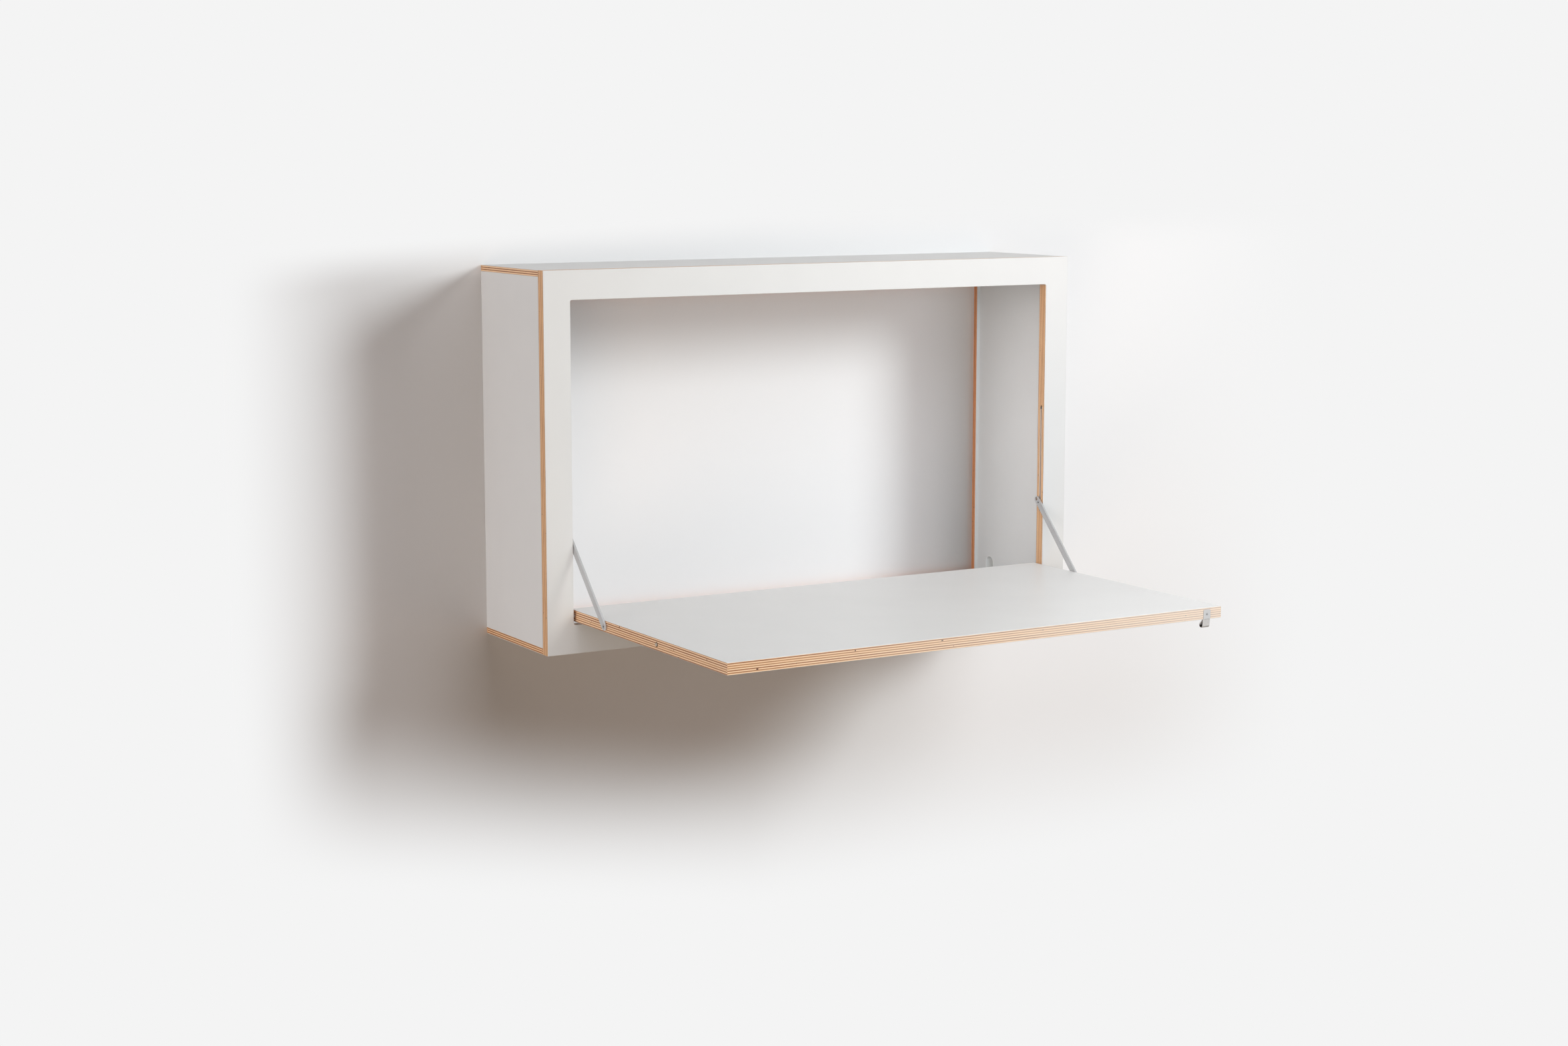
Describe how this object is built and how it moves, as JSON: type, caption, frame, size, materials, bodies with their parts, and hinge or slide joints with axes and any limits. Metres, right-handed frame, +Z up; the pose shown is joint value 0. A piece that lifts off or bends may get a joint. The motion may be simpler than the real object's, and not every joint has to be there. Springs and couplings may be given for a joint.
{
  "type": "fold down wall desk",
  "caption": "Shallow plywood wall casing whose cut-out front flap folds down on two sliding struts to make a desk, with a cable slot low in one side.",
  "frame": {"origin": "centre of the four wall fixing holes, on the wall plane", "axes": "+Y into the wall, +X along the length to the right seen from the room, +Z up"},
  "size_m": [1, 0.7178, 0.603],
  "materials": {
    "laminated_plywood": "white laminate on birch plywood, matt, bare layered edges",
    "birch_tenon": "plain beech",
    "white_plastic": "matt",
    "black_plastic": "matt",
    "rubber_stop": "matt",
    "steel": "satin",
    "spring_steel": "drawn wire",
    "brass": "turned",
    "aluminium": "satin anodised",
    "leather": "smooth, light grey"
  },
  "bodies": {
    "casing": {"bottom_panel": "laminated_plywood", "cable_slot_liner": "white_plastic", "casing_tenons": "birch_tenon", "front_frame": "laminated_plywood", "front_frame_tenons": "birch_tenon", "guide_stops": "rubber_stop", "hinge_bushes": "black_plastic", "left_guide_channel": "white_plastic", "left_side_lining": "laminated_plywood", "left_side_panel": "laminated_plywood", "right_guide_channel": "white_plastic", "right_side_lining": "laminated_plywood", "right_side_panel": "laminated_plywood", "top_panel": "laminated_plywood", "wall_frame": "laminated_plywood", "wall_frame_tenons": "birch_tenon"},
    "flap": {"flap": "laminated_plywood", "hinge_pins": "steel", "strut_inserts": "brass", "strut_washers": "black_plastic", "strut_screws": "steel", "catch_sleeves": "brass", "left_catch_spring": "spring_steel", "right_catch_spring": "spring_steel", "pull_plate": "steel", "pull_screw": "steel", "pull_strap": "leather"},
    "left_strut": {"left_strut_bar": "aluminium", "left_slider_pin": "steel"},
    "right_strut": {"right_strut_bar": "aluminium", "right_slider_pin": "steel"},
    "left_slider": {"left_slider_block": "black_plastic"},
    "right_slider": {"right_slider_block": "black_plastic"},
    "left_catch": {"left_catch_plunger": "steel"},
    "right_catch": {"right_catch_plunger": "steel"}
  },
  "joints": [
    {"name": "flap_fold", "type": "hinge", "parent": "casing", "child": "flap", "pos_m": [0, -0.2228, -0.2343], "axis": [-1, 0, 0], "range_deg": [0, 90]},
    {"name": "left_strut_swing", "type": "hinge", "parent": "flap", "child": "left_strut", "pos_m": [-0.4523, -0.3338, -0.2343], "axis": [1, 0, 0], "range_deg": [0, 133.6]},
    {"name": "left_slider_travel", "type": "slide", "parent": "casing", "child": "left_slider", "axis": [0, 0, 1], "range_m": [0, 0.1555]},
    {"name": "right_strut_swing", "type": "hinge", "parent": "flap", "child": "right_strut", "pos_m": [0.4523, -0.3338, -0.2343], "axis": [1, 0, 0], "range_deg": [0, 133.6]},
    {"name": "right_slider_travel", "type": "slide", "parent": "casing", "child": "right_slider", "axis": [0, 0, 1], "range_m": [0, 0.1555]},
    {"name": "left_catch_press", "type": "slide", "parent": "flap", "child": "left_catch", "axis": [1, 0, 0], "range_m": [0, 0.0024], "stiffness_N_per_m": 1500, "springref_m": -0.002, "deforming": ["left_catch_spring"]},
    {"name": "right_catch_press", "type": "slide", "parent": "flap", "child": "right_catch", "axis": [-1, 0, 0], "range_m": [0, 0.0024], "stiffness_N_per_m": 1500, "springref_m": -0.002, "deforming": ["right_catch_spring"]}
  ],
  "couplings": [
    {"joint": "left_strut_swing", "follows": "flap_fold", "ratio": 1.4843},
    {"joint": "left_slider_travel", "follows": "flap_fold", "m_per_rad": 0.098919},
    {"joint": "right_strut_swing", "follows": "flap_fold", "ratio": 1.4843},
    {"joint": "right_slider_travel", "follows": "flap_fold", "m_per_rad": 0.098919}
  ]
}
